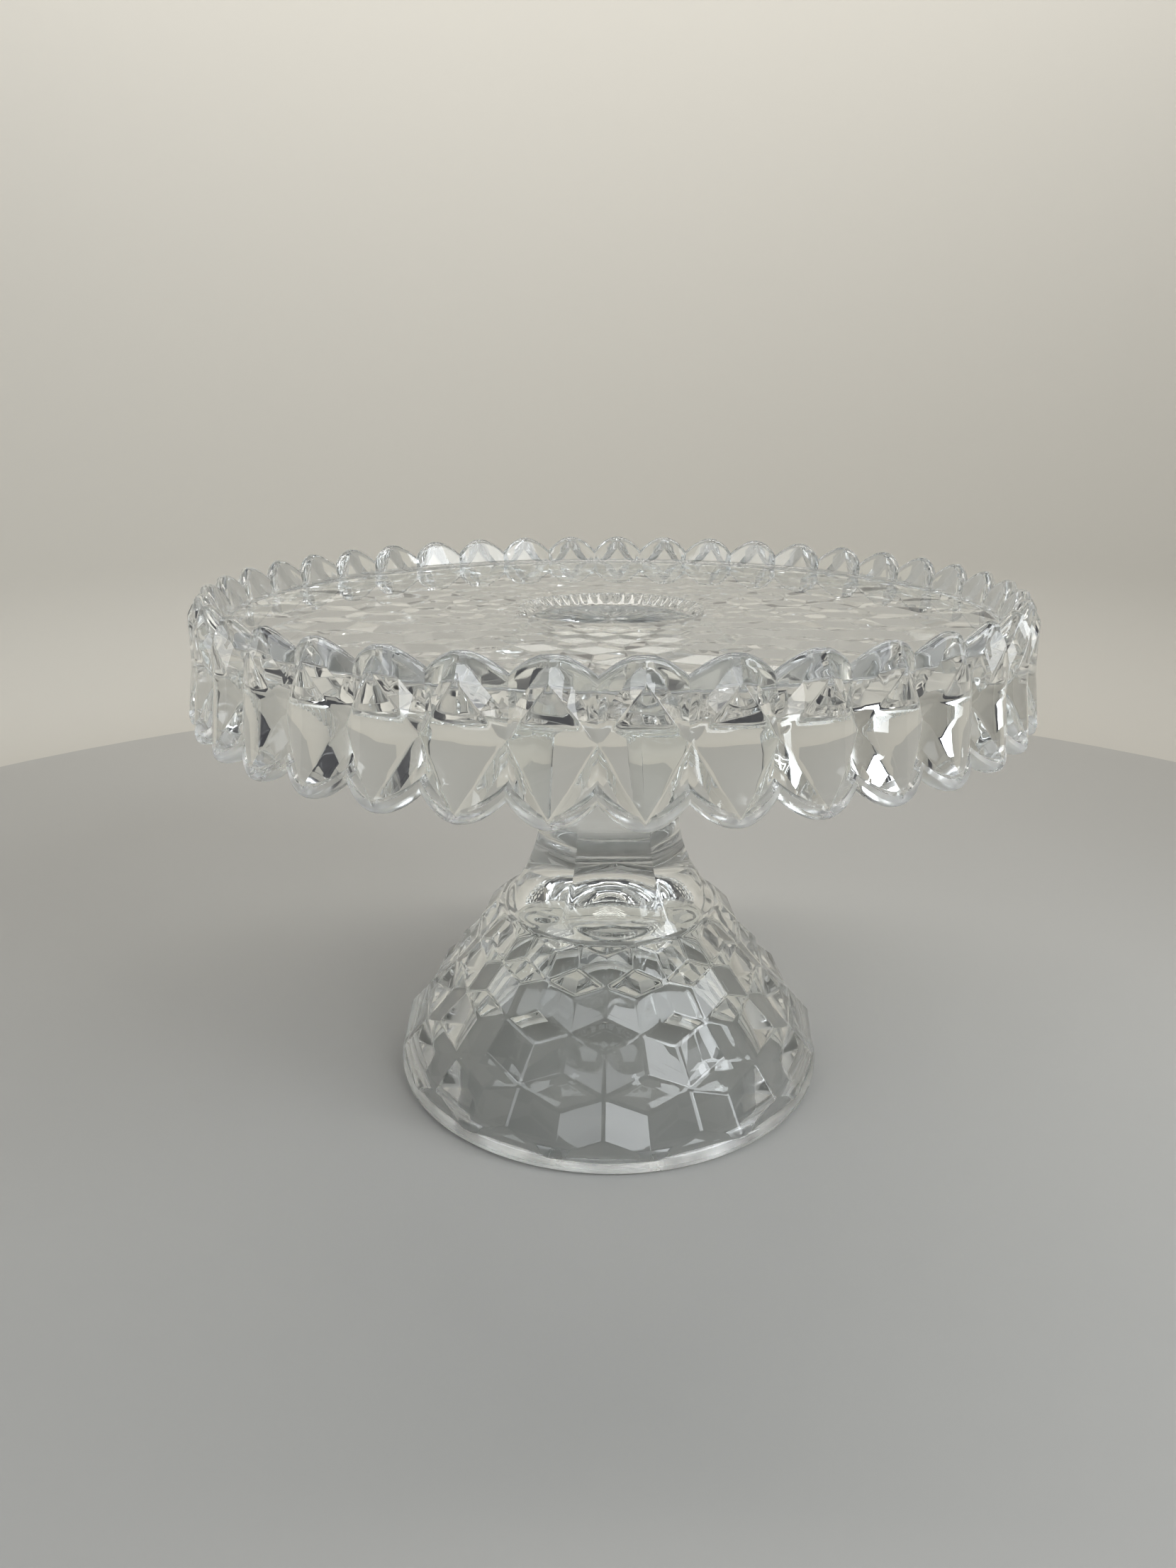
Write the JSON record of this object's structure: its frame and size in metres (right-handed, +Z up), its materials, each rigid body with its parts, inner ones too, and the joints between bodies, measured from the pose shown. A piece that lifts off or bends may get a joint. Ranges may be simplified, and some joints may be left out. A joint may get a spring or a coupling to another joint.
{
  "type": "pedestal cake stand",
  "caption": "Clear pressed-glass cake stand: a round plate with a scalloped diamond band and a cube-pattern underside, on a fluted stem and a hollow conical foot.",
  "frame": {"origin": "centre of the ring the foot stands on, at the height of the table", "axes": "+Z up along the axis of the stem, -Y towards the side that the stand was seen from"},
  "size_m": [0.2639, 0.264, 0.1725],
  "materials": {
    "plate_glass": "clear pressed glass, fire polished, with faint use scratches on the cake surface",
    "pedestal_glass": "clear pressed glass, fire polished, with rubbed wear on the ring it stands on"
  },
  "bodies": {
    "root": {"plate": "plate_glass", "pedestal": "pedestal_glass"}
  },
  "joints": []
}
